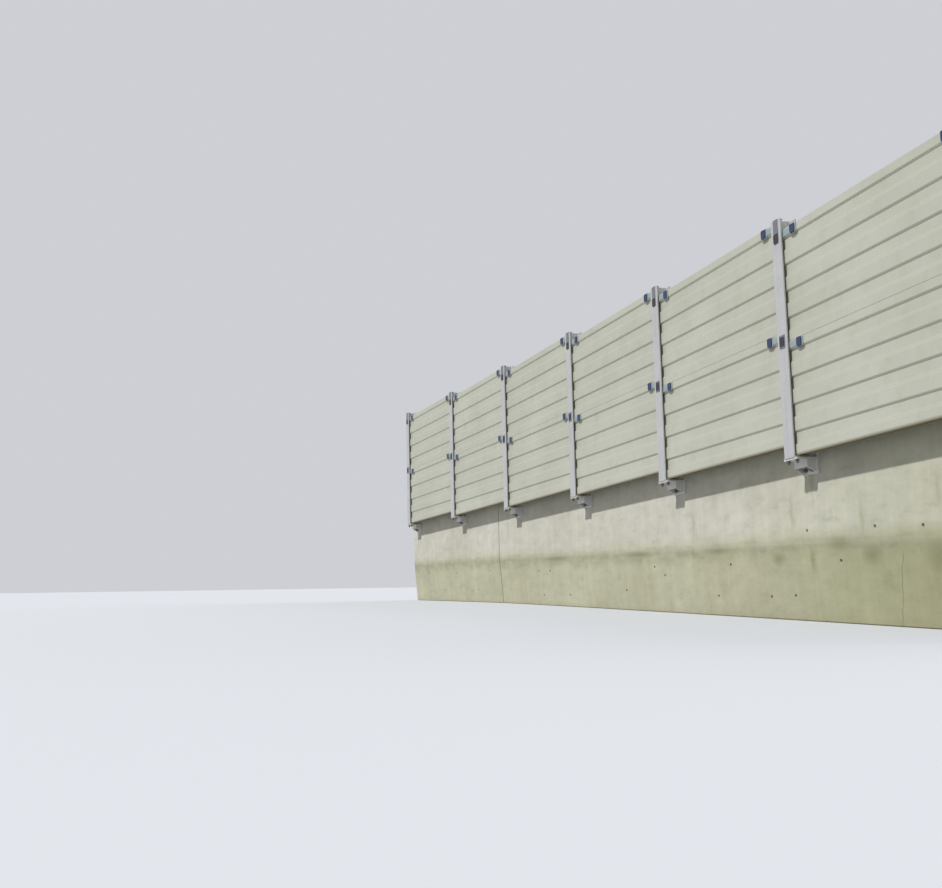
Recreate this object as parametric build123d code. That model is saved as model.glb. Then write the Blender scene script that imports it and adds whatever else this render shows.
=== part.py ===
from build123d import *
import math
import os

# Noise barrier on the concrete parapet of a road bridge, in millimetres.
# +Z is up, +X runs along the barrier towards its low end, and -Y faces away from the road.
# The origin is on the flat underside of the longer parapet length, below the middle post.

# Setting out. Posts and bays are numbered from the low end, and each bay stands level.
bay_count = 6
bay_length = 2000
plan_radius = 132000
near_grade = 0.037
far_grade = 0.030

# Parapet and the edge beam under it, which are cast as one
edge_beam_depth = 520
edge_beam_batter = 40
parapet_height = 870
parapet_top_width = 200
parapet_waist_width = 255
parapet_base_width = 380
toe_height = 75
toe_slope_rise = 180
coping_chamfer = 20
drip_setback = 90
drip_width = 20
drip_depth = 12
origin_from_face = 210
end_overhang = 300

# Movement joint between the two parapet lengths
joint_bay = 5
joint_past_post = 720
joint_gap = 20
filler_recess = 15

# Rolled H-section posts, 125 by 125
post_depth = 125
flange_width = 125
flange_thickness = 9
web_thickness = 6.5
root_radius = 10
post_tail = 12
post_head = 6
shelf_reach = 55
shelf_thickness = 12

# Foot brackets on the face of the parapet
wall_plate_width = 200
wall_plate_thickness = 16
wall_plate_above = 220
wall_plate_below = 110
wall_plate_clearance = 0.2
packer_width = 100
packer_thickness = 25
packer_height = 200
bracket_width = 164
seat_thickness = 14
seat_setback = 6
apron_setback = 82
apron_thickness = 8
apron_height = 66
gusset_thickness = 8

# Sheet steel panels, two to a bay, which start below the top of the parapet
panel_overlap = 250
panel_height = 780
panel_thickness = 80
panel_end_clearance = 12
panel_face_clearance = 13
trough_count = 4
trough_pitch = 186.4
trough_start = 70
trough_depth = 11
trough_height = 76
ledge_rise = 12
ledge_radius = 16
lip_drop = 8
bend_radius = 4
bead_height = 50
bead_flat = 30
bead_depth = 8
tongue_width = 40
tongue_height = 12
tongue_clearance = 2

# Rubber strips that hold the panels against the outer flanges
gasket_width = 40
gasket_inset = 6
gasket_clearance = 0.6

# Panel ties: a plate on the post, and a strap behind its flange that ends in a clip on each panel
tie_drop = 32
clip_reach = 190
clip_width = 58
clip_height = 62
clip_depth = 15
clip_chamfer = 5
strap_height = 40
strap_thickness = 5
strap_start = 25
tie_plate_width = 70
tie_plate_height = 90
tie_plate_thickness = 8
cap_plate_reach = 40

# Derived sizes
turn = 2 * math.asin(bay_length / 2 / plan_radius)
middle_post = bay_count / 2 + 1
wall_plate_bed = wall_plate_width / 2 * math.tan(turn / 2) + wall_plate_clearance
post_standoff = wall_plate_bed + wall_plate_thickness + packer_thickness + post_depth / 2
post_line_y = -origin_from_face - post_standoff
total_height = edge_beam_depth + parapet_height
panel_base = total_height - panel_overlap
channel_depth = post_depth - 2 * flange_thickness
panel_length = bay_length - web_thickness - 2 * panel_end_clearance
panel_face_y = flange_thickness + panel_face_clearance - post_depth / 2
panel_back_y = panel_face_y + panel_thickness
flange_inside_y = post_depth / 2 - flange_thickness


def bay_angle(bay):
    """Angle in plan from the middle post to the middle of a bay, in radians."""
    return (middle_post - bay - 0.5) * turn


def post_angle(number):
    """Angle in plan from the middle post to a post, in radians."""
    return (middle_post - number) * turn


def plan_place(angle, radius):
    """Place on the post line, with X along the barrier and Y towards the road."""
    x = radius * math.sin(angle)
    y = post_line_y + radius * math.cos(angle) - plan_radius
    return Pos(x, y, 0) * Rot(0, 0, -math.degrees(angle))


def post_place(number):
    return plan_place(post_angle(number), plan_radius)


def bay_place(bay):
    return plan_place(bay_angle(bay), plan_radius * math.cos(turn / 2))


# The movement joint lies in one bay, past the post at that bay's low end
joint_shift = bay_length / 2 - joint_past_post
joint_x = (bay_place(joint_bay) * Pos(joint_shift, 0, 0)).position.X


def near_level(x):
    return -near_grade * x


def far_level(x):
    return near_level(joint_x) - far_grade * (x - joint_x)


def bay_base(bay):
    """Height of the bottom of a bay's panels. A bay that the barrier lacks still has one."""
    x = bay_place(bay).position.X
    level = near_level(x) if x > joint_x else far_level(x)
    return level + panel_base


def parapet_outline():
    """Section of the parapet and edge beam: distance in from the outer face, and height."""
    waist_level = edge_beam_depth + toe_height + toe_slope_rise
    return [
        (edge_beam_batter, 0),
        (0, edge_beam_depth),
        (0, total_height - coping_chamfer),
        (coping_chamfer, total_height),
        (parapet_top_width - coping_chamfer, total_height),
        (parapet_top_width, total_height - coping_chamfer),
        (parapet_waist_width, waist_level),
        (parapet_base_width, edge_beam_depth + toe_height),
        (parapet_base_width, 0),
        (drip_setback + drip_width, 0),
        (drip_setback + drip_width, drip_depth),
        (drip_setback, drip_depth),
        (drip_setback, 0),
    ]


def parapet_section(place, level, mitre=0.0):
    """Parapet outline stood up at a place on the post line, each point at its own level.

    A section at a post is a mitre between two straight stretches, so it is a little wider.
    """
    points = []
    for inward, height in parapet_outline():
        point = (place * Pos(0, (post_standoff + inward) / math.cos(mitre), 0)).position
        points.append(Vector(point.X, point.Y, height + level(point.X)))
    return points


def parapet_length(sections):
    """Solid with flat faces between one section and the next."""
    faces = [Face(Wire.make_polygon(sections[0]))]
    faces.append(Face(Wire.make_polygon(sections[-1])))
    for first, second in zip(sections, sections[1:]):
        for i in range(len(first)):
            corners = [first[i - 1], first[i], second[i], second[i - 1]]
            faces.append(Face(Wire.make_polygon(corners)))
    return Solid(Shell(faces))


def bay_end(bay, shift):
    """Place in a bay, a distance towards the low end from the bay's middle."""
    return bay_place(bay) * Pos(shift, 0, 0)


def near_parapet():
    sections = [parapet_section(bay_end(1, bay_length / 2 + end_overhang), near_level)]
    for number in range(2, joint_bay + 1):
        sections.append(parapet_section(post_place(number), near_level, turn / 2))
    sections.append(parapet_section(bay_end(joint_bay, joint_shift + joint_gap / 2), near_level))
    return parapet_length(sections)


def far_parapet():
    sections = [parapet_section(bay_end(joint_bay, joint_shift - joint_gap / 2), far_level)]
    for number in range(joint_bay + 1, bay_count + 1):
        sections.append(parapet_section(post_place(number), far_level, turn / 2))
    sections.append(parapet_section(bay_end(bay_count, -bay_length / 2 - end_overhang), far_level))
    return parapet_length(sections)


def joint_filler():
    """Strip of compressed foam that fills the movement joint, set back from its faces."""
    outline = make_face(Polyline(*parapet_outline(), close=True))
    section = offset(outline, -filler_recess, kind=Kind.INTERSECTION)
    level = near_level(joint_x)
    standing = Plane((0, post_standoff, level), x_dir=(0, 1, 0), z_dir=(1, 0, 0)) * section
    strip = extrude(standing, joint_gap / 2, both=True)
    return bay_end(joint_bay, joint_shift) * strip


def post(number):
    """H-section post with a shelf on each side of its web for the panels of that bay."""
    foot = bay_base(number - 1) - post_tail
    head = bay_base(number) + 2 * panel_height + post_head
    pocket = RectangleRounded(flange_width, channel_depth, root_radius)
    section = Rectangle(flange_width, post_depth)
    for side in (-1, 1):
        section -= Pos(side * (web_thickness + flange_width) / 2, 0) * pocket
    solid = Pos(0, 0, foot) * extrude(section, head - foot)
    shelf = Box(shelf_reach, channel_depth, shelf_thickness, align=(Align.MIN, Align.CENTER, Align.MAX))
    if number > 1:
        solid += Pos(web_thickness / 2, 0, bay_base(number - 1)) * shelf
    if number <= bay_count:
        solid += Pos(-web_thickness / 2 - shelf_reach, 0, bay_base(number)) * shelf
    return post_place(number) * solid


def foot_bracket(number):
    """Wall plate with a packer behind the post, and a seat below it on an apron and two gussets."""
    seat_top = bay_base(number - 1) - post_tail
    packer_y = post_depth / 2
    plate_y = packer_y + packer_thickness
    seat_y = seat_setback - post_depth / 2
    apron_y = apron_setback - post_depth / 2
    standing = (Align.CENTER, Align.MIN, Align.MIN)
    hanging = (Align.CENTER, Align.MIN, Align.MAX)
    plate_height = wall_plate_above + wall_plate_below
    plate = Box(wall_plate_width, wall_plate_thickness, plate_height, align=standing)
    packer = Box(packer_width, packer_thickness, packer_height, align=standing)
    seat = Box(bracket_width, plate_y - seat_y, seat_thickness, align=hanging)
    apron = Box(bracket_width, apron_thickness, apron_height, align=hanging)
    solid = Pos(0, plate_y, -wall_plate_below) * plate
    solid += Pos(0, packer_y, 0) * packer
    solid += Pos(0, seat_y, 0) * seat
    solid += Pos(0, apron_y, 0) * apron
    gusset_outline = [
        (apron_y + apron_thickness / 2, -seat_thickness / 2),
        (apron_y + apron_thickness / 2, -apron_height),
        (plate_y + wall_plate_thickness / 2, -wall_plate_below),
        (plate_y + wall_plate_thickness / 2, -seat_thickness / 2),
    ]
    side = Plane.YZ * make_face(Polyline(*gusset_outline, close=True))
    gusset = extrude(side, gusset_thickness / 2, both=True)
    reach = (bracket_width - gusset_thickness) / 2
    for x in (-reach, reach):
        solid += Pos(x, 0, 0) * gusset
    return post_place(number) * Pos(0, 0, seat_top) * solid


def panel_section():
    """Section of a panel: Y towards the road and Z up, with Z from the panel's bottom."""
    front = [(panel_face_y, 0)]
    ledges = []
    lips = []
    for i in range(trough_count):
        foot = trough_start + i * trough_pitch
        bottom = foot + ledge_rise
        top = bottom + trough_height
        ledge = [(panel_face_y, foot), (panel_face_y + trough_depth, bottom)]
        lip = [(panel_face_y + trough_depth, top), (panel_face_y, top + lip_drop)]
        front += ledge + lip
        ledges += ledge
        lips += lip
    front.append((panel_face_y, panel_height))
    middle = (panel_face_y + panel_back_y) / 2
    half_tongue = tongue_width / 2
    tongue_top = panel_height + tongue_height
    crown = [(middle - half_tongue, panel_height), (middle - half_tongue, tongue_top)]
    crown += [(middle + half_tongue, tongue_top), (middle + half_tongue, panel_height)]
    back = [(panel_back_y, panel_height)]
    for i in reversed(range(trough_count)):
        centre = trough_start + i * trough_pitch + trough_pitch / 2
        back.append((panel_back_y, centre + bead_height / 2))
        back.append((panel_back_y - bead_depth, centre + bead_flat / 2))
        back.append((panel_back_y - bead_depth, centre - bead_flat / 2))
        back.append((panel_back_y, centre - bead_height / 2))
    back.append((panel_back_y, 0))
    half_groove = half_tongue + tongue_clearance
    groove_top = tongue_height + tongue_clearance
    groove = [(middle + half_groove, 0), (middle + half_groove, groove_top)]
    groove += [(middle - half_groove, groove_top), (middle - half_groove, 0)]
    section = make_face(Polyline(*front, *crown, *back, *groove, close=True))
    edges = [front[0], front[-1], back[0], back[-1]]
    for points, radius in ((ledges, ledge_radius), (lips + edges, bend_radius)):
        section = fillet(corners_at(section, points), radius)
    return section


def corners_at(section, points):
    """The corners of a flat section that lie at the given points."""
    found = []
    for corner in section.vertices():
        if any(math.hypot(corner.X - y, corner.Y - z) < bend_radius / 10 for y, z in points):
            found.append(corner)
    return found


def panel(bay, layer, section):
    base = bay_base(bay) + layer * panel_height
    solid = extrude(Plane.YZ * section, panel_length / 2, both=True)
    return bay_place(bay) * Pos(0, 0, base) * solid


def gaskets():
    """One strip behind each end of each bay's panels."""
    thickness = flange_inside_y - panel_back_y - gasket_clearance
    strip = Box(gasket_width, thickness, 2 * panel_height, align=(Align.CENTER, Align.MIN, Align.MIN))
    reach = panel_length / 2 - gasket_inset - gasket_width / 2
    strips = []
    for bay in range(1, bay_count + 1):
        for side in (-1, 1):
            strips.append(bay_place(bay) * Pos(side * reach, panel_back_y, bay_base(bay)) * strip)
    return Compound(strips)


def tie_sides(number):
    """The bays that a post ties: one on each side, or one at the ends of the barrier."""
    sides = []
    if number > 1:
        sides.append((1, number - 1))
    if number <= bay_count:
        sides.append((-1, number))
    return sides


def tie_plates(number):
    """Plates on the outer flange at the top of each layer. The upper one hooks over the post."""
    against = (Align.CENTER, Align.MAX, Align.MIN)
    over = (Align.CENTER, Align.MIN, Align.MAX)
    solids = []
    for layer in (1, 2):
        level = layer * panel_height - tie_drop
        centre = (bay_base(number - 1) + bay_base(number)) / 2 + level
        foot = centre - tie_plate_height / 2
        if layer == 1:
            rise = tie_plate_height
        else:
            rise = bay_base(number) + 2 * panel_height + post_head + tie_plate_thickness - foot
        upright = Box(tie_plate_width, tie_plate_thickness, rise, align=against)
        plate = Pos(0, -post_depth / 2, foot) * upright
        if layer == 2:
            hook = Box(tie_plate_width, cap_plate_reach, tie_plate_thickness, align=over)
            plate += Pos(0, -post_depth / 2 - tie_plate_thickness, foot + rise) * hook
        solids.append(post_place(number) * plate)
    return Compound(solids)


def tie_clips(number):
    """Clips on the flat top strip of each panel, on straps that run in behind the post's flange."""
    flat = (Align.CENTER, Align.MAX, Align.CENTER)
    block = Box(clip_width, clip_depth, clip_height, align=flat)
    block = chamfer(block.faces().sort_by(Axis.Y)[0].edges(), clip_chamfer)
    strap_length = clip_reach - strap_start
    strap = Box(strap_length, strap_thickness, strap_height, align=flat)
    solids = []
    for side, bay in tie_sides(number):
        clip = block + Pos(-side * strap_length / 2, 0, 0) * strap
        for layer in (1, 2):
            level = bay_base(bay) + layer * panel_height - tie_drop
            place = Pos(side * (clip_reach - bay_length / 2), panel_face_y, level)
            solids.append(bay_place(bay) * place * clip)
    return Compound([solid.solid() for solid in solids])


nodes = {
    "parapet_near": near_parapet(),
    "parapet_far": far_parapet(),
    "joint_filler": joint_filler(),
    "panel_gaskets": gaskets(),
}
for number in range(1, bay_count + 2):
    nodes[f"post_{number}"] = post(number)
    nodes[f"foot_bracket_{number}"] = foot_bracket(number)
    nodes[f"tie_plates_{number}"] = tie_plates(number)
    nodes[f"tie_clips_{number}"] = tie_clips(number)
sheet_section = panel_section()
for bay in range(1, bay_count + 1):
    nodes[f"lower_panel_{bay}"] = panel(bay, 0, sheet_section)
    nodes[f"upper_panel_{bay}"] = panel(bay, 1, sheet_section)

os.makedirs("parts", exist_ok=True)
for name, shape in nodes.items():
    export_step(shape, f"parts/{name}.step")
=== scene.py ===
import math

import bmesh
import bpy
from mathutils import Matrix, Vector


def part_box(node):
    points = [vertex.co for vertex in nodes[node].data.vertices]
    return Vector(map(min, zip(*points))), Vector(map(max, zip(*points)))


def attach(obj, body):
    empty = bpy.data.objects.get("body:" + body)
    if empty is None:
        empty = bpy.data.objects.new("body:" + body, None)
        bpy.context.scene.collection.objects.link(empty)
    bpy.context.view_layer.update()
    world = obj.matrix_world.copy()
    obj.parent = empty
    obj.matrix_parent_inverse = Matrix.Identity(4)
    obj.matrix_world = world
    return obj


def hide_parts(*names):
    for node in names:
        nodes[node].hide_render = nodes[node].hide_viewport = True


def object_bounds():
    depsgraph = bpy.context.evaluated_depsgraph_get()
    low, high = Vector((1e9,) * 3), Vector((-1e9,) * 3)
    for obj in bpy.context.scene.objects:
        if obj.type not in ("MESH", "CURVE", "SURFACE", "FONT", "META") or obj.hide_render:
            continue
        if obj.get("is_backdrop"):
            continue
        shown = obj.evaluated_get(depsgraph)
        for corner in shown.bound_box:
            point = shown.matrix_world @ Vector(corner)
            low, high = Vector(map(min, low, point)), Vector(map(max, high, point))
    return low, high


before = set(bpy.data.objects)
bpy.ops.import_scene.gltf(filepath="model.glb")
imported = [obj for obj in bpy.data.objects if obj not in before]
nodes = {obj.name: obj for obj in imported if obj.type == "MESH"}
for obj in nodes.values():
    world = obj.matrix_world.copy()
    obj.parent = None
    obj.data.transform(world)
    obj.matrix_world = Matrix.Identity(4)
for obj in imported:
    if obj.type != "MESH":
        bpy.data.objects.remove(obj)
bpy.ops.object.select_all(action="DESELECT")
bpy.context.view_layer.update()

# Setting out
# The barrier stands in level bays between posts, which follow a wide curve and climb by steps.
# Each post and panel takes its place and its turn in plan from its CAD node.
bay_count = 6
plan_radius = 132.0
near_grade = 0.037
far_grade = 0.030
post_numbers = range(1, bay_count + 2)
bay_numbers = range(1, bay_count + 1)
joint_low, joint_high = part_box("joint_filler")
joint_x = (joint_low.x + joint_high.x) / 2


def standing_place(node):
    """Matrix of a post or panel node: its middle in plan, its foot, and its turn about the vertical."""
    low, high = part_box(node)
    middle = (low + high) / 2
    turn = -math.asin(middle.x / plan_radius)
    return Matrix.Translation((middle.x, middle.y, low.z)) @ Matrix.Rotation(turn, 4, "Z")


def underside(x):
    """Level of the concrete's underside, which falls towards the low end."""
    if x > joint_x:
        return -near_grade * x
    return -near_grade * joint_x - far_grade * (x - joint_x)


# Concrete parapet and edge beam
# Two lengths cast in place against sheet formwork, whose ties left cone-shaped holes in the outer
# face. The arrises have worn round. Below the fold the face is yellower, with a band darkened by
# painted shade and stain, and a painted highlight along the fold.
beam_depth = 0.52
arris_radius = 0.006
tie_hole_radius = 0.016
tie_hole_taper = 0.65
tie_hole_depth = 0.024
cutter_overlap = 0.006
end_clearance = 0.1
# Place along X and height above the underside, and for stains the half width and half height too
tie_holes = [
    (5.153, 0.592), (4.677, 0.605), (3.891, 0.607), (4.266, 0.399), (2.775, 0.389), (1.410, 0.384),
    (-1.135, 0.367), (-1.465, 0.369), (3.656, 0.166), (3.329, 0.154), (2.522, 0.149), (1.598, 0.310),
    (0.768, 0.177), (-0.635, 0.115), (-1.383, 0.104), (-3.100, 0.380), (-4.400, 0.375), (-5.600, 0.385),
    (-3.600, 0.150), (-5.000, 0.145),
]
damp_patches = [(4.28, 0.520, 0.17, 0.045), (3.49, 0.420, 0.10, 0.050), (5.30, 0.400, 0.14, 0.100),
                (3.93, 0.400, 0.035, 0.090), (4.62, 0.430, 0.10, 0.060), (2.60, 0.500, 0.22, 0.030),
                (1.10, 0.500, 0.30, 0.030), (-0.90, 0.495, 0.35, 0.030)]
brown_runs = [(3.71, 0.74, 0.030, 0.14), (4.55, 0.66, 0.036, 0.14), (3.99, 0.93, 0.034, 0.12),
              (2.20, 0.72, 0.028, 0.12), (5.32, 0.80, 0.030, 0.14)]
crack_foot = (4.853, 0.064)
crack_top = (4.932, 0.467)
crack_width = 0.0034


def linear(hex_colour):
    """Linear RGBA of an sRGB hex colour."""
    channels = [int(hex_colour[i:i + 2], 16) / 255 for i in (1, 3, 5)]
    return [c / 12.92 if c <= 0.04045 else ((c + 0.055) / 1.055) ** 2.4 for c in channels] + [1.0]


def add_node(material, kind, inputs=(), output=0, **settings):
    """Adds a shader node with its settings, sets or links its inputs, and gives back one of its outputs."""
    node = material.node_tree.nodes.new("ShaderNode" + kind)
    for name, value in settings.items():
        setattr(node, name, value)
    for socket, value in inputs.items() if isinstance(inputs, dict) else enumerate(inputs):
        if isinstance(value, bpy.types.NodeSocket):
            material.node_tree.links.new(value, node.inputs[socket])
        else:
            node.inputs[socket].default_value = linear(value) if isinstance(value, str) else value
    return node.outputs[output]


def finish_material(material, colour, height, distance, **surface):
    """Gives the shader its colour, its relief in metres for a height of 1, and its other sockets."""
    shader = material.node_tree.nodes["Principled BSDF"]
    surface["Base Color"] = colour
    surface["Normal"] = add_node(material, "Bump", {"Height": height, "Distance": distance})
    for socket, value in surface.items():
        socket = socket.replace("_", " ")
        if isinstance(value, bpy.types.NodeSocket):
            material.node_tree.links.new(value, shader.inputs[socket])
        else:
            shader.inputs[socket].default_value = value


def new_material(name):
    material = bpy.data.materials.new(name)
    material.use_nodes = True
    return material, add_node(material, "TexCoord", output="Object")


def paint(pieces, material):
    for piece in pieces:
        piece.data.materials.clear()
        piece.data.materials.append(material)


def weathered_concrete(name, grade, level_at_origin):
    """Formed concrete. The bands follow the slope of their own length, so the height is worked out from it.

    Patches of 0.1 to 1 m and faint runs give it age, and the grain of 4 mm is coarser than real sand,
    so that it shows.
    """
    m, place = new_material(name)
    x = add_node(m, "SeparateXYZ", [place], output="X")
    z = add_node(m, "SeparateXYZ", [place], output="Z")
    climb = add_node(m, "Math", [x, grade, z], operation="MULTIPLY_ADD")
    height = add_node(m, "Math", [climb, level_at_origin], operation="SUBTRACT")
    drawn_out = add_node(m, "Mapping", {"Vector": place, "Scale": (0.4, 0.4, 1.0)})
    mottle = add_node(m, "TexNoise", {"Vector": place, "Scale": 1.3, "Detail": 5.0, "Roughness": 0.6})
    cloud = add_node(m, "TexNoise", {"Vector": drawn_out, "Scale": 4.5, "Detail": 5.0, "Roughness": 0.62})
    smear = add_node(m, "TexNoise", {"Vector": drawn_out, "Scale": 13.0, "Detail": 6.0, "Roughness": 0.66})
    stretched = add_node(m, "Mapping", {"Vector": place, "Scale": (9.0, 9.0, 0.8)})
    streak = add_node(m, "TexNoise", {"Vector": stretched, "Scale": 1.0, "Detail": 5.0, "Roughness": 0.62})
    sand = add_node(m, "TexNoise", {"Vector": place, "Scale": 250.0, "Detail": 2.0})
    uneven = add_node(m, "Math", [cloud, 0.11, height], operation="MULTIPLY_ADD")
    uneven = add_node(m, "Math", [uneven, 0.03], operation="SUBTRACT")
    low_end = add_node(m, "MapRange", [x, 2.2, 5.2])
    facing = add_node(m, "NewGeometry", output="Normal")
    facing = add_node(m, "SeparateXYZ", [facing], output="Y")
    outer_side = add_node(m, "MapRange", [facing, 0.6, 0.4])
    patchy = add_node(m, "MapRange", [mottle, 0.34, 0.66])

    # Paler parapet above, yellower beam below, both darker towards the low end
    upper = add_node(m, "Mix", {0: patchy, 6: "#D3D0C2", 7: "#CAC8B7"}, output=2, data_type="RGBA")
    upper = add_node(m, "Mix", {0: low_end, 6: upper, 7: "#C7C6B0"}, output=2, data_type="RGBA")
    lower = add_node(m, "Mix", {0: patchy, 6: "#C8C6AB", 7: "#BDBB9D"}, output=2, data_type="RGBA")
    lower = add_node(m, "Mix", {0: low_end, 6: lower, 7: "#A9A883"}, output=2, data_type="RGBA")
    in_beam = add_node(m, "MapRange", [uneven, beam_depth + 0.14, beam_depth + 0.02])
    in_beam = add_node(m, "Math", [in_beam, outer_side], operation="MULTIPLY")
    colour = add_node(m, "Mix", {0: in_beam, 6: upper, 7: lower}, output=2, data_type="RGBA")

    # A band under the fold, darkened by painted shade of the fold and by stain, and a painted highlight
    # along the fold itself
    # The band is painted shade where the face turns at the fold, mixed with a greenish stain.
    above = add_node(m, "MapRange", [uneven, beam_depth - 0.11, beam_depth])
    below = add_node(m, "MapRange", [uneven, beam_depth + 0.07, beam_depth + 0.025])
    band = add_node(m, "Math", [above, below], operation="MULTIPLY")
    broken = add_node(m, "MapRange", [smear, 0.34, 0.66, 0.3, 0.7])
    broken = add_node(m, "Math", [broken, outer_side], operation="MULTIPLY")
    band = add_node(m, "Math", [band, broken], operation="MULTIPLY")
    colour = add_node(m, "Mix", {0: band, 6: colour, 7: "#9B9C7E"}, output=2, data_type="RGBA")
    # The paler line along the fold is a painted highlight where the face turns.
    off_fold = add_node(m, "Math", [cloud, 0.06, height], operation="MULTIPLY_ADD")
    off_fold = add_node(m, "Math", [off_fold, -beam_depth - 0.03], operation="ADD")
    off_fold = add_node(m, "Math", [off_fold], operation="ABSOLUTE")
    arris_wear_and_fold_highlight = add_node(m, "MapRange", [off_fold, 0.026, 0.004, 0.0, 0.45])
    arris_wear_and_fold_highlight = add_node(m, "Math", [arris_wear_and_fold_highlight, broken], operation="MULTIPLY")
    colour = add_node(m, "Mix", {0: arris_wear_and_fold_highlight, 6: colour, 7: "#CBC9B4"}, output=2, data_type="RGBA")

    # Cloudy patches, blotches and faint runs, and a yellow bloom at the drip edge
    for pattern, dark, light in ((cloud, 0.92, 1.05), (smear, 0.91, 1.06), (streak, 0.93, 1.05)):
        tone = add_node(m, "MapRange", [pattern, 0.3, 0.7, light, dark])
        colour = add_node(m, "Mix", {0: 1.0, 6: colour, 7: tone}, output=2, data_type="RGBA",
                          blend_type="MULTIPLY")
    blotch = add_node(m, "MapRange", [smear, 0.58, 0.74, 0.0, 0.25])
    colour = add_node(m, "Mix", {0: blotch, 6: colour, 7: "#93937A"}, output=2, data_type="RGBA")
    drip = add_node(m, "MapRange", [height, 0.05, 0.0, 0.0, 0.25])
    colour = add_node(m, "Mix", {0: drip, 6: colour, 7: "#A19D70"}, output=2, data_type="RGBA")

    # Damp patches and brown runs where the photograph shows them, with edges broken by the smears
    spots = [(spot, "#77774F", 0.5) for spot in damp_patches] + [(run, "#9A9468", 0.4) for run in brown_runs]
    bent = add_node(m, "Math", [smear, 0.10, x], operation="MULTIPLY_ADD")
    for (spot_x, spot_height, half_width, half_height), stain, strength in spots:
        across = add_node(m, "Math", [bent, -spot_x - 0.05], operation="ADD")
        across = add_node(m, "Math", [across, half_width], operation="DIVIDE")
        along = add_node(m, "Math", [height, -spot_height], operation="ADD")
        along = add_node(m, "Math", [along, half_height], operation="DIVIDE")
        flat = add_node(m, "CombineXYZ", [across, along, 0.0])
        reach = add_node(m, "VectorMath", [flat], output="Value", operation="LENGTH")
        reach = add_node(m, "Math", [smear, 2.2, reach], operation="MULTIPLY_ADD")
        factor = add_node(m, "MapRange", [reach, 2.3, 1.3, 0.0, strength])
        factor = add_node(m, "Math", [factor, outer_side], operation="MULTIPLY")
        colour = add_node(m, "Mix", {0: factor, 6: colour, 7: stain}, output=2, data_type="RGBA")

    # One crack up the beam, air holes of 3 to 5 mm darkened with painted shade, and the grain
    lean = (crack_top[0] - crack_foot[0]) / (crack_top[1] - crack_foot[1])
    wander = add_node(m, "Math", [cloud, 0.12, x], operation="MULTIPLY_ADD")
    wander = add_node(m, "Math", [height, -lean, wander], operation="MULTIPLY_ADD")
    off_line = crack_foot[0] - lean * crack_foot[1] + 0.06
    aside = add_node(m, "Math", [wander, off_line], operation="SUBTRACT")
    aside = add_node(m, "Math", [aside], operation="ABSOLUTE")
    crack = add_node(m, "MapRange", [aside, crack_width, crack_width / 3])
    in_reach = add_node(m, "MapRange", [height, crack_top[1], crack_top[1] - 0.05, 0.0, 0.8])
    crack = add_node(m, "Math", [crack, in_reach], operation="MULTIPLY")
    crack = add_node(m, "Math", [crack, outer_side], operation="MULTIPLY")
    colour = add_node(m, "Mix", {0: crack, 6: colour, 7: "#55543F"}, output=2, data_type="RGBA")
    bubble = add_node(m, "TexVoronoi", {"Vector": place, "Scale": 30.0})
    pit = add_node(m, "MapRange", [bubble, 0.08, 0.045])
    sparse = add_node(m, "MapRange", [cloud, 0.5, 0.56])
    pit = add_node(m, "Math", [pit, sparse], operation="MULTIPLY")
    # The pits are darkened with painted shade, because their hollows are only in the relief.
    painted_pit_shade = add_node(m, "Math", [pit, 0.5], operation="MULTIPLY")
    colour = add_node(m, "Mix", {0: painted_pit_shade, 6: colour, 7: "#5A594C"}, output=2, data_type="RGBA")
    grain = add_node(m, "MapRange", [sand, 0.35, 0.65, 0.0, 0.14])
    colour = add_node(m, "Mix", {0: grain, 6: colour, 7: "#7F7D6E"}, output=2, data_type="RGBA")
    relief = add_node(m, "Math", [mottle, 3.0, sand], operation="MULTIPLY_ADD")
    relief = add_node(m, "Math", [pit, -3.0, relief], operation="MULTIPLY_ADD")
    finish_material(m, colour, relief, 0.0008, Roughness=0.9)
    return m


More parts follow.
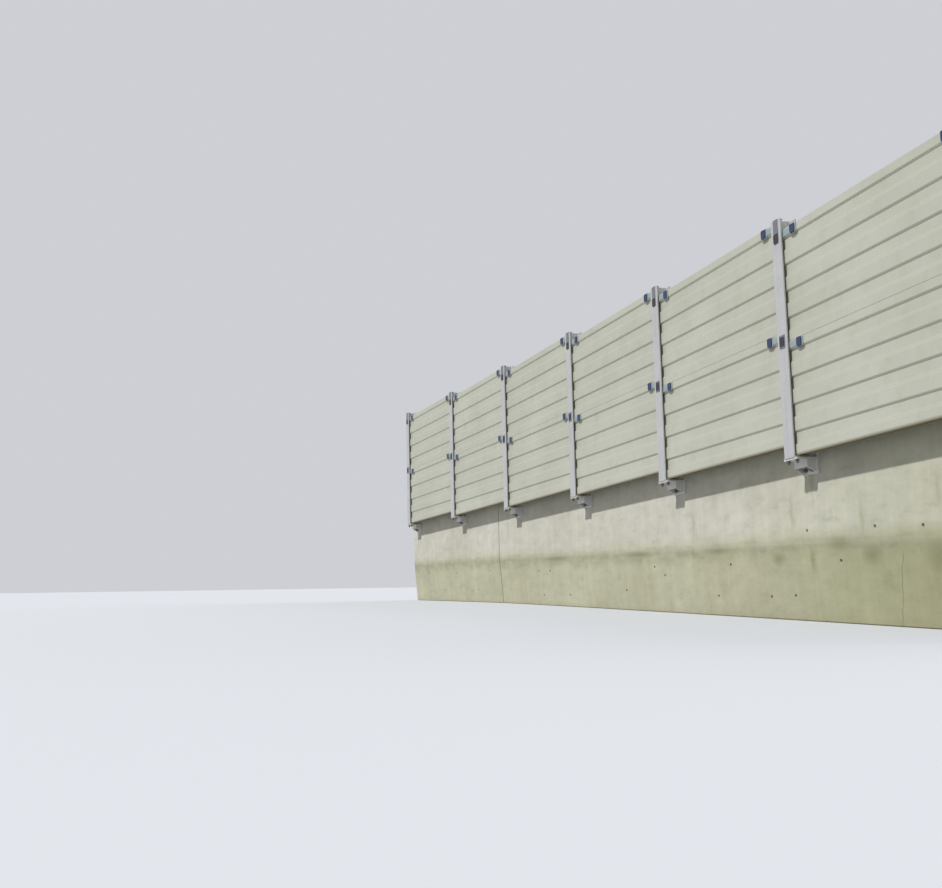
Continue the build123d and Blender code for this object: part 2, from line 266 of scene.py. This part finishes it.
def casting(node, material):
    """Copy of a concrete node with worn arrises and with the tie holes that lie on its length."""
    low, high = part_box(node)
    piece = bpy.data.objects.new(node + "_casting", nodes[node].data.copy())
    bpy.context.scene.collection.objects.link(piece)
    bpy.context.view_layer.objects.active = piece
    piece.select_set(True)
    bpy.ops.object.mode_set(mode="EDIT")
    bpy.ops.mesh.select_all(action="SELECT")
    bpy.ops.mesh.remove_doubles(threshold=1e-5)
    bpy.ops.mesh.dissolve_limited(angle_limit=math.radians(0.05))
    bpy.ops.object.mode_set(mode="OBJECT")
    arris_wear_and_fold_highlight = piece.modifiers.new("worn_arris", "BEVEL")
    arris_wear_and_fold_highlight.width = arris_radius
    arris_wear_and_fold_highlight.segments = 2
    arris_wear_and_fold_highlight.limit_method = "ANGLE"
    arris_wear_and_fold_highlight.angle_limit = math.radians(25)
    bpy.ops.object.modifier_apply(modifier=arris_wear_and_fold_highlight.name)
    bpy.ops.object.select_all(action="DESELECT")
    cutters = []
    depth = tie_hole_depth + cutter_overlap
    for x, height in tie_holes:
        if low.x + end_clearance < x < high.x - end_clearance:
            start = Vector((x, low.y - 1.0, underside(x) + height))
            point, normal = nodes[node].ray_cast(start, Vector((0, 1, 0)))[1:3]
            inward = (-normal).to_track_quat("Z", "Y").to_euler()
            middle = point - normal * (depth / 2 - cutter_overlap)
            bpy.ops.mesh.primitive_cone_add(vertices=20, radius1=tie_hole_radius,
                                            radius2=tie_hole_radius * tie_hole_taper,
                                            depth=depth, location=middle, rotation=inward)
            cutters.append(bpy.context.active_object)
    for cutter in cutters:
        cutter.select_set(True)
    bpy.ops.object.join()
    cutter = bpy.context.active_object
    bpy.ops.object.select_all(action="DESELECT")
    bpy.context.view_layer.objects.active = piece
    holes = piece.modifiers.new("tie_holes", "BOOLEAN")
    holes.object = cutter
    bpy.ops.object.modifier_apply(modifier=holes.name)
    bpy.data.objects.remove(cutter)
    paint([piece], material)
    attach(piece, "root")
    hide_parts(node)


near_concrete = weathered_concrete("weathered_concrete_near", near_grade, 0.0)
far_concrete = weathered_concrete("weathered_concrete_far", far_grade, (far_grade - near_grade) * joint_x)
casting("parapet_near", near_concrete)
casting("parapet_far", far_concrete)

# Movement joint filler
# A strip of closed-cell foam, pressed between the two castings and set back from their faces. Sun and
# rain have bleached it in patches, and cement slurry covers it below the fold.
filler, place = new_material("weathered_joint_foam")
cells = add_node(filler, "TexNoise", {"Vector": place, "Scale": 220.0})
bleached = add_node(filler, "TexNoise", {"Vector": place, "Scale": 7.0, "Detail": 4.0})
bleached = add_node(filler, "MapRange", [bleached, 0.42, 0.62, 0.0, 0.75])
colour = add_node(filler, "Mix", {0: cells, 6: "#4A4740", 7: "#7D7864"}, output=2, data_type="RGBA")
colour = add_node(filler, "Mix", {0: bleached, 6: colour, 7: "#9C9A86"}, output=2, data_type="RGBA")
level = add_node(filler, "SeparateXYZ", [place], output="Z")
fold_level = joint_low.z + beam_depth
slurry = add_node(filler, "MapRange", [level, fold_level + 0.08, fold_level - 0.04, 0.0, 0.85])
colour = add_node(filler, "Mix", {0: slurry, 6: colour, 7: "#B3B090"}, output=2, data_type="RGBA")
finish_material(filler, colour, cells, 0.0008, Roughness=0.95)
paint([nodes["joint_filler"]], filler)

# Foot brackets
# Galvanised weldments held to the face of the concrete by four anchors each. The post stands on the
# seat, and two studs from its foot come through the seat to nuts below.
plate_face = 0.0875
seat_underside = 0.014
anchor_places = [(-0.074, 0.175), (0.074, 0.175), (-0.040, -0.080), (0.040, -0.080)]
seat_stud_places = [(-0.055, -0.036), (0.055, -0.036)]
washer_radius = 0.015
washer_top = 0.003
nut_width = 0.024
nut_top = 0.016
stud_radius = 0.008
stud_top = 0.026
fastener_chamfer = 0.0012


def galvanised_steel(name, light, dark):
    """Hot-dip zinc. Flakes of 12 mm in slightly different greys, under a whitish film of weathering."""
    m, place = new_material(name)
    flake = add_node(m, "TexVoronoi", {"Vector": place, "Scale": 1 / 0.012}, output="Color")
    flake = add_node(m, "SeparateColor", [flake])
    film = add_node(m, "TexNoise", {"Vector": place, "Scale": 6.0, "Detail": 5.0})
    stretched = add_node(m, "Mapping", {"Vector": place, "Scale": (60.0, 60.0, 1.6)})
    run = add_node(m, "TexNoise", {"Vector": stretched, "Scale": 1.0, "Detail": 3.0})
    factor = add_node(m, "Math", [flake, 0.35], operation="MULTIPLY")
    colour = add_node(m, "Mix", {0: factor, 6: light, 7: dark}, output=2, data_type="RGBA")
    factor = add_node(m, "MapRange", [film, 0.45, 0.7, 0.0, 0.5])
    colour = add_node(m, "Mix", {0: factor, 6: colour, 7: "#CBCBC9"}, output=2, data_type="RGBA")
    factor = add_node(m, "MapRange", [run, 0.56, 0.78, 0.0, 0.4])
    colour = add_node(m, "Mix", {0: factor, 6: colour, 7: "#9B9B96"}, output=2, data_type="RGBA")
    dull = add_node(m, "MapRange", [film, 0.3, 0.7, 0.42, 0.62])
    relief = add_node(m, "Math", [film, 2.0, flake], operation="MULTIPLY_ADD")
    finish_material(m, colour, relief, 0.0002, Roughness=dull, Metallic=0.3)
    return m


def select_faces(chosen):
    """In edit mode, selects only the faces whose middle and normal pass the test."""
    bpy.ops.mesh.select_mode(type="FACE")
    bpy.ops.mesh.select_all(action="DESELECT")
    shape = bmesh.from_edit_mesh(bpy.context.active_object.data)
    for face in shape.faces:
        face.select_set(chosen(face.calc_center_median(), face.normal))
    bmesh.update_edit_mesh(bpy.context.active_object.data)


def join_selected():
    """Joins the selected pieces into one pattern with its place in its mesh, and deselects it."""
    bpy.ops.object.join()
    bpy.ops.object.transform_apply()
    bpy.ops.object.select_all(action="DESELECT")
    return bpy.context.active_object


def set_copies(name, pattern, places, material):
    """One piece that holds a copy of the pattern's mesh at each place."""
    shape = bmesh.new()
    for place in places:
        copy = pattern.data.copy()
        copy.transform(place)
        shape.from_mesh(copy)
        bpy.data.meshes.remove(copy)
    piece = bpy.data.objects.new(name, bpy.data.meshes.new(name))
    shape.to_mesh(piece.data)
    shape.free()
    bpy.context.scene.collection.objects.link(piece)
    paint([piece], material)
    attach(piece, "root")
    return piece


zinc = galvanised_steel("galvanised_steel", "#C6C6C5", "#B2B3B2")
# The brackets get a paler copy of the zinc. This is painted light that lifts them out of the panels' shade.
painted_light_zinc = galvanised_steel("painted_light_galvanised_steel", "#DCDCD8", "#CACAC6")
paint([nodes[f"foot_bracket_{number}"] for number in post_numbers], painted_light_zinc)

parts = []
for sides, radius, foot, top in [
    (28, washer_radius, 0.0, washer_top),
    (6, nut_width / math.sqrt(3), washer_top, nut_top),
    (16, stud_radius, nut_top, stud_top),
]:
    bpy.ops.mesh.primitive_cylinder_add(vertices=sides, radius=radius, depth=top - foot,
                                        location=(0, 0, (foot + top) / 2))
    parts.append(bpy.context.active_object)
    bpy.ops.object.mode_set(mode="EDIT")
    select_faces(lambda middle, normal: normal.z > 0.9)
    bpy.ops.mesh.bevel(offset=fastener_chamfer, segments=1, affect="EDGES")
    bpy.ops.object.mode_set(mode="OBJECT")
for part in parts:
    part.select_set(True)
anchor = join_selected()

fastener, place = new_material("tarnished_zinc")
tarnish = add_node(fastener, "TexNoise", {"Vector": place, "Scale": 90.0, "Detail": 4.0})
factor = add_node(fastener, "MapRange", [tarnish, 0.35, 0.65])
colour = add_node(fastener, "Mix", {0: factor, 6: "#8C8B86", 7: "#5E5A53"}, output=2, data_type="RGBA")
finish_material(fastener, colour, tarnish, 0.0003, Roughness=0.55, Metallic=0.5)

outwards = Matrix.Rotation(math.pi / 2, 4, "X")
downwards = Matrix.Rotation(math.pi, 4, "X")
for number in post_numbers:
    foot = standing_place(f"post_{number}")
    places = [foot @ Matrix.Translation((x, plate_face, z)) @ outwards for x, z in anchor_places]
    set_copies(f"anchors_{number}", anchor, places, fastener)
    places = [foot @ Matrix.Translation((x, y, -seat_underside)) @ downwards for x, y in seat_stud_places]
    set_copies(f"seat_nuts_{number}", anchor, places, fastener)
bpy.data.objects.remove(anchor)

# Posts
# Rolled H-sections, hot-dip galvanised, with a shelf in each channel that carries the panels.
# The zinc has dulled evenly, with faint runs where the rain comes down the flanges.
paint([nodes[f"post_{number}"] for number in post_numbers], zinc)

# Panels
# Boxes of colour-coated sheet steel filled with mineral wool. The outer sheet has four troughs rolled
# into it, and the inner sheet, towards the parapet, is punched with holes between its beads.
panel_pitch = 0.78
hole_spacing = 0.020
hole_radius = 0.004
hole_blur = 0.03


def colour_coated_sheet(name, foot_level):
    """Polyester paint on rolled sheet: even and slightly glossy, with dust and painted shade where a slope
    faces up, and painted light on the slopes that face down.

    The sheet is a little wavy, with about 0.3 m from wave to wave, and rain has left faint upright runs.
    """
    m, place = new_material(name)
    x = add_node(m, "SeparateXYZ", [place], output="X")
    z = add_node(m, "SeparateXYZ", [place], output="Z")
    facing = add_node(m, "NewGeometry", output="Normal")
    facing_inwards = add_node(m, "SeparateXYZ", [facing], output="Y")
    facing_up = add_node(m, "SeparateXYZ", [facing], output="Z")
    wash = add_node(m, "TexNoise", {"Vector": place, "Scale": 1.1, "Detail": 4.0})
    smudge = add_node(m, "TexNoise", {"Vector": place, "Scale": 7.0, "Detail": 5.0, "Roughness": 0.6})
    stretched = add_node(m, "Mapping", {"Vector": place, "Scale": (26.0, 26.0, 1.1)})
    rain = add_node(m, "TexNoise", {"Vector": stretched, "Scale": 1.0, "Detail": 3.0})
    factor = add_node(m, "MapRange", [wash, 0.35, 0.65])
    colour = add_node(m, "Mix", {0: factor, 6: "#C0C1B1", 7: "#B7B8A7"}, output=2, data_type="RGBA")
    factor = add_node(m, "MapRange", [rain, 0.5, 0.8, 0.0, 0.2])
    colour = add_node(m, "Mix", {0: factor, 6: colour, 7: "#C9CABD"}, output=2, data_type="RGBA")
    factor = add_node(m, "MapRange", [smudge, 0.5, 0.75, 0.0, 0.35])
    colour = add_node(m, "Mix", {0: factor, 6: colour, 7: "#A8A792"}, output=2, data_type="RGBA")

    # Dust and painted shade on the slopes that face up, painted light on the slopes that face down, and a
    # brown darker line along the foot
    # Slopes that face up are darkened by dust and by painted shade that holds back their sunlit shine.
    dust = add_node(m, "MapRange", [facing_up, 0.1, 0.75])
    colour = add_node(m, "Mix", {0: dust, 6: colour, 7: "#9E9D8C"}, output=2, data_type="RGBA")
    # Slopes that face down are lightened with painted light against their shade.
    painted_underside_light = add_node(m, "MapRange", [facing_up, -0.1, -0.6, 0.0, 0.9])
    colour = add_node(m, "Mix", {0: painted_underside_light, 6: colour, 7: "#EAE9CE"}, output=2, data_type="RGBA")
    level = add_node(m, "Math", [z, foot_level], operation="SUBTRACT")
    factor = add_node(m, "MapRange", [level, 0.020, 0.006, 0.0, 0.75])
    colour = add_node(m, "Mix", {0: factor, 6: colour, 7: "#7D7052"}, output=2, data_type="RGBA")
    level = add_node(m, "Math", [level, panel_pitch], operation="MODULO")

    # The punched holes, in straight rows on the flats of the inner side, darkened with painted shade
    grid = add_node(m, "CombineXYZ", [x, level, 0.0])
    hole = add_node(m, "TexVoronoi", {"Vector": grid, "Scale": 1 / hole_spacing, "Randomness": 0.0},
                    voronoi_dimensions="2D")
    rim = hole_radius / hole_spacing
    hole = add_node(m, "MapRange", [hole, rim + hole_blur, rim - hole_blur])
    inner_side = add_node(m, "MapRange", [facing_inwards, 0.93, 0.97])
    hole = add_node(m, "Math", [hole, inner_side], operation="MULTIPLY")
    # The dark of the holes is painted shade from inside the panel.
    colour = add_node(m, "Mix", {0: hole, 6: colour, 7: "#2E2C27"}, output=2, data_type="RGBA")
    relief = add_node(m, "TexNoise", {"Vector": place, "Scale": 3.5, "Detail": 1.0})
    relief = add_node(m, "Math", [hole, -0.5, relief], operation="MULTIPLY_ADD")
    finish_material(m, colour, relief, 0.004, Roughness=0.45)
    return m


for bay in bay_numbers:
    sheet = colour_coated_sheet(f"colour_coated_sheet_{bay}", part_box(f"lower_panel_{bay}")[0].z)
    paint([nodes[f"lower_panel_{bay}"], nodes[f"upper_panel_{bay}"]], sheet)

# Rubber strips
# Extruded EPDM pressed between the backs of the panels and the inner flanges, so nothing rattles.
# Black, with a grey bloom.
rubber, place = new_material("epdm_rubber")
bloom = add_node(rubber, "TexNoise", {"Vector": place, "Scale": 30.0})
colour = add_node(rubber, "Mix", {0: bloom, 6: "#232323", 7: "#403F3C"}, output=2, data_type="RGBA")
finish_material(rubber, colour, bloom, 0.0003, Roughness=0.75)
paint([nodes["panel_gaskets"]], rubber)

# Panel ties
# At each level a steel plate with a black pad lies on the post. A pale blue strap runs out from behind
# the flange on each side, and is clamped to the panel by a moulded navy cap.


def add_block(low, high):
    """Adds a block between two corners, with its place and size in its mesh, and leaves it selected."""
    middle = [(a + b) / 2 for a, b in zip(low, high)]
    size = [b - a for a, b in zip(low, high)]
    bpy.ops.mesh.primitive_cube_add(size=1, location=middle, scale=size)
    bpy.ops.object.transform_apply()
    return bpy.context.active_object


def round_corners(radius, segments, chosen=lambda a, b: abs((a - b).normalized().y) > 0.9):
    """In edit mode, rounds the edges whose ends pass the test, or else those that run front to back."""
    bpy.ops.mesh.select_mode(type="EDGE")
    bpy.ops.mesh.select_all(action="DESELECT")
    shape = bmesh.from_edit_mesh(bpy.context.active_object.data)
    for edge in shape.edges:
        edge.select_set(chosen(edge.verts[0].co, edge.verts[1].co))
    bmesh.update_edit_mesh(bpy.context.active_object.data)
    bpy.ops.mesh.bevel(offset=radius, segments=segments, affect="EDGES")


def facing_front(middle, normal):
    return normal.y < -0.9


# The flat plate, and the one whose upper edge is folded back over the top of the post
plate_width = 0.070
plate_height = 0.090
hooked_plate_width = 0.058
hooked_plate_height = 0.166
plate_thickness = 0.004
plate_corner = 0.006
plate_arris = 0.0008
hook_reach = 0.040
tie_plates = []
for width, height in ((plate_width, plate_height), (hooked_plate_width, hooked_plate_height)):
    plate = add_block((-width / 2, -plate_thickness, -height / 2), (width / 2, 0, height / 2))
    bpy.ops.object.mode_set(mode="EDIT")
    if height == hooked_plate_height:
        select_faces(lambda middle, normal: normal.z > 0.9)
        bpy.ops.mesh.extrude_region_move(TRANSFORM_OT_translate={"value": (0, 0, plate_thickness)})
        select_faces(lambda middle, normal: normal.y > 0.9 and middle.z > height / 2)
        bpy.ops.mesh.extrude_region_move(TRANSFORM_OT_translate={"value": (0, hook_reach, 0)})
    round_corners(plate_corner, 2, lambda a, b: abs((a - b).normalized().y) > 0.9 and a.z < 0 and b.z < 0)
    select_faces(facing_front)
    bpy.ops.mesh.bevel(offset=plate_arris, segments=1, affect="EDGES")
    bpy.ops.object.mode_set(mode="OBJECT")
    bpy.ops.object.select_all(action="DESELECT")
    tie_plates.append(plate)
flat_plate, hooked_plate = tie_plates

# The pad, with a screw head sunk into it at each side
pad_width = 0.058
pad_height = 0.064
pad_corner = 0.008
pad_arris = 0.0012
screw_radius = 0.006
screw_thickness = 0.002
screw_chamfer = 0.0005
pad_front = -2 * plate_thickness
pad = add_block((-pad_width / 2, pad_front + screw_thickness / 2, -pad_height / 2),
                (pad_width / 2, -plate_thickness, pad_height / 2))
bpy.ops.object.mode_set(mode="EDIT")
round_corners(pad_corner, 3)
select_faces(facing_front)
bpy.ops.mesh.bevel(offset=pad_arris, segments=2, affect="EDGES")
bpy.ops.object.mode_set(mode="OBJECT")
heads = []
for side in (-1, 1):
    head_middle = (side * pad_width * 0.3, pad_front + screw_thickness / 2, 0)
    bpy.ops.mesh.primitive_cylinder_add(vertices=6, radius=screw_radius, depth=screw_thickness,
                                        location=head_middle, rotation=(math.pi / 2, 0, 0))
    heads.append(bpy.context.active_object)
    bpy.ops.object.mode_set(mode="EDIT")
    select_faces(lambda middle, normal: normal.z > 0.9)
    bpy.ops.mesh.bevel(offset=screw_chamfer, segments=1, affect="EDGES")
    bpy.ops.object.mode_set(mode="OBJECT")
for part in (pad, *heads):
    part.select_set(True)
pad = join_selected()

# The strap, with a raised band along it, and the base that the cap sits in
strap_length = 0.165
strap_height = 0.046
strap_thickness = 0.004
strap_rim = 0.006
strap_band_rise = 0.0012
strap_band_arris = 0.001
base_width = 0.084
base_height = 0.070
base_thickness = 0.0065
base_corner = 0.010
base_arris = 0.0025
strap = add_block((-strap_length / 2, -strap_thickness, -strap_height / 2),
                  (strap_length / 2, 0, strap_height / 2))
bpy.ops.object.mode_set(mode="EDIT")
select_faces(facing_front)
bpy.ops.mesh.inset(thickness=strap_rim, depth=strap_band_rise)
bpy.ops.mesh.bevel(offset=strap_band_arris, segments=1, affect="EDGES")
bpy.ops.object.mode_set(mode="OBJECT")
bpy.ops.object.select_all(action="DESELECT")
base = add_block((-base_width / 2, -base_thickness, -base_height / 2), (base_width / 2, 0, base_height / 2))
bpy.ops.object.mode_set(mode="EDIT")
round_corners(base_corner, 3)
select_faces(facing_front)
bpy.ops.mesh.bevel(offset=base_arris, segments=2, affect="EDGES")
bpy.ops.object.mode_set(mode="OBJECT")
bpy.ops.object.select_all(action="DESELECT")

# The cap, a shallow box with a rounded front and a sunk panel in it
cap_width = 0.058
cap_height = 0.062
cap_depth = 0.0148
cap_corner = 0.011
cap_arris = 0.0045
cap_rim = 0.006
cap_sink_slope = 0.0012
cap_sink = 0.0015
cap = add_block((-cap_width / 2, -cap_depth, -cap_height / 2),
                (cap_width / 2, -strap_thickness, cap_height / 2))
bpy.ops.object.mode_set(mode="EDIT")
round_corners(cap_corner, 4)
select_faces(facing_front)
bpy.ops.mesh.bevel(offset=cap_arris, segments=3, affect="EDGES")
select_faces(lambda middle, normal: facing_front(middle, normal) and middle.y < 0.0001 - cap_depth)
bpy.ops.mesh.inset(thickness=cap_rim, depth=0.0)
bpy.ops.mesh.inset(thickness=cap_sink_slope, depth=-cap_sink)
bpy.ops.object.mode_set(mode="OBJECT")
bpy.ops.object.shade_smooth_by_angle(angle=math.radians(35))
bpy.ops.object.select_all(action="DESELECT")

# Dull grey paint on the plates, black rubbery moulding for the pads
plate_paint, place = new_material("grey_epoxy_paint")
scuff = add_node(plate_paint, "TexNoise", {"Vector": place, "Scale": 60.0, "Detail": 3.0})
colour = add_node(plate_paint, "Mix", {0: scuff, 6: "#66666C", 7: "#85868A"}, output=2, data_type="RGBA")
finish_material(plate_paint, colour, scuff, 0.0003, Roughness=0.5)
black, place = new_material("black_moulding")
chalk = add_node(black, "TexNoise", {"Vector": place, "Scale": 70.0, "Detail": 3.0})
colour = add_node(black, "Mix", {0: chalk, 6: "#222127", 7: "#3C3A42"}, output=2, data_type="RGBA")
finish_material(black, colour, chalk, 0.0003, Roughness=0.6)

# Nylon straps faded by the sun, and polypropylene caps gone slightly chalky
nylon, place = new_material("pale_blue_nylon")
fading = add_node(nylon, "TexNoise", {"Vector": place, "Scale": 25.0, "Detail": 3.0})
colour = add_node(nylon, "Mix", {0: fading, 6: "#8A9CA0", 7: "#9EABAC"}, output=2, data_type="RGBA")
finish_material(nylon, colour, fading, 0.0002, Roughness=0.5)
navy, place = new_material("navy_polypropylene")
chalk = add_node(navy, "TexNoise", {"Vector": place, "Scale": 40.0, "Detail": 3.0})
colour = add_node(navy, "Mix", {0: chalk, 6: "#293056", 7: "#373E63"}, output=2, data_type="RGBA")
finish_material(navy, colour, chalk, 0.0002, Roughness=0.4)

# The post runs past the panels by its tail and its head. The middle plate lies halfway between the
# levels of its two bays, and the upper one hangs from the top of the post.
flange_face = -0.0625
crest_face = -0.040
post_tail = 0.012
post_head = 0.006
tie_drop = 0.032
pad_drop = 0.046
cap_offset = 0.810
for number in post_numbers:
    post_at = standing_place(f"post_{number}")
    low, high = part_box(f"post_{number}")
    low_bay = low.z + post_tail
    high_bay = high.z - post_head - 2 * panel_pitch
    middle_level = (low_bay + high_bay) / 2 + panel_pitch - tie_drop
    top_level = high.z - hooked_plate_height / 2
    flat_at = post_at @ Matrix.Translation((0, flange_face, middle_level - low.z))
    hooked_at = post_at @ Matrix.Translation((0, flange_face, top_level - low.z))
    flat = set_copies(f"middle_tie_plate_{number}", flat_plate, [flat_at], plate_paint)
    set_copies(f"top_tie_plate_{number}", hooked_plate, [hooked_at], plate_paint)
    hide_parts(f"tie_plates_{number}")
    pads_at = [flat_at, hooked_at @ Matrix.Translation((0, 0, -pad_drop))]
    set_copies(f"tie_pads_{number}", pad, pads_at, black)

    straps_at = []
    caps_at = []
    for bay, side in ((number - 1, -1), (number, 1)):
        if bay in bay_numbers:
            bay_place = standing_place(f"lower_panel_{bay}")
            for layer in (1, 2):
                level = layer * panel_pitch - tie_drop
                cap_at = bay_place @ Matrix.Translation((side * cap_offset, crest_face, level))
                caps_at.append(cap_at)
                straps_at.append(cap_at @ Matrix.Translation((side * strap_length / 2, 0, 0)))
    set_copies(f"tie_straps_{number}", strap, straps_at, nylon)
    set_copies(f"tie_bases_{number}", base, caps_at, nylon)
    caps = set_copies(f"tie_caps_{number}", cap, caps_at, navy)
    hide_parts(f"tie_clips_{number}")
for pattern in (flat_plate, hooked_plate, pad, strap, base, cap):
    bpy.data.objects.remove(pattern)

# Floor, light and camera
# The floor follows the slope of the concrete's underside. It is pale to the camera but throws back
# little light, so that what faces down stays dark.
floor_reach = 60.0
floor_gap = 0.002
backdrop_colour = "#CDCFD4"
bpy.ops.mesh.primitive_grid_add(x_subdivisions=2, y_subdivisions=1, size=2 * floor_reach)
floor = bpy.context.active_object
floor.name = "floor"
for vertex in floor.data.vertices:
    vertex.co.x += joint_x
    vertex.co.z = underside(vertex.co.x) - floor_gap
floor_finish, place = new_material("studio_floor")
seen = add_node(floor_finish, "LightPath", output="Is Camera Ray")
mirrored = add_node(floor_finish, "LightPath", output="Is Glossy Ray")
seen = add_node(floor_finish, "Math", [seen, mirrored], operation="MAXIMUM")
dust = add_node(floor_finish, "TexNoise", {"Vector": place, "Scale": 2.0})
colour = add_node(floor_finish, "Mix", {0: seen, 6: "#87888A", 7: "#C4C6C9"}, output=2, data_type="RGBA")
finish_material(floor_finish, colour, dust, 0.0005, Roughness=0.9)
floor.data.materials.append(floor_finish)
floor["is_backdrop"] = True


def add_sun(name, direction, strength, spread_degrees):
    """Sun lamp that shines along a direction, given in the part's own axes."""
    lamp = bpy.data.lights.new(name, "SUN")
    lamp.energy = strength
    lamp.angle = math.radians(spread_degrees)
    sun = bpy.data.objects.new(name, lamp)
    sun.rotation_mode = "QUATERNION"
    sun.rotation_quaternion = Vector(direction).to_track_quat("-Z", "Y")
    bpy.context.scene.collection.objects.link(sun)


add_sun("key_light", (-0.15, 1.0, -1.29), 3.05, 2.0)
add_sun("inner_side_fill", (0.1, -0.5, -0.35), 0.8, 60.0)

world = bpy.data.worlds.new("studio")
world.use_nodes = True
bpy.context.scene.world = world
fill = world.node_tree.nodes["Background"]
fill.inputs["Color"].default_value = linear("#F4F7FF")
fill.inputs["Strength"].default_value = 0.50
backdrop = add_node(world, "Background", {"Color": backdrop_colour})
seen = add_node(world, "LightPath", output="Is Camera Ray")
for ray in ("Is Glossy Ray", "Is Transmission Ray"):
    seen = add_node(world, "Math", [seen, add_node(world, "LightPath", output=ray)], operation="MAXIMUM")
sky = add_node(world, "MixShader", [seen, fill.outputs[0], backdrop])
world.node_tree.links.new(sky, world.node_tree.nodes["World Output"].inputs["Surface"])
bpy.context.scene.view_settings.view_transform = "Standard"

image_width = 942
focal_pixels = 1208.2
camera_position = Vector((11.0288, -4.8758, -0.0686))
camera_forward = Vector((-0.94449, 0.29609, 0.14237))
camera_up = Vector((0.14256, -0.02102, 0.98956))
lens = bpy.data.cameras.new("photo_view")
lens.sensor_width = 36.0
lens.lens = lens.sensor_width * focal_pixels / image_width
camera = bpy.data.objects.new("photo_view", lens)
back = -camera_forward.normalized()
right = camera_up.cross(back).normalized()
axes = Matrix((right, back.cross(right), back)).transposed()
camera.matrix_world = Matrix.Translation(camera_position) @ axes.to_4x4()
bpy.context.scene.collection.objects.link(camera)
bpy.context.scene.camera = camera

low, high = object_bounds()
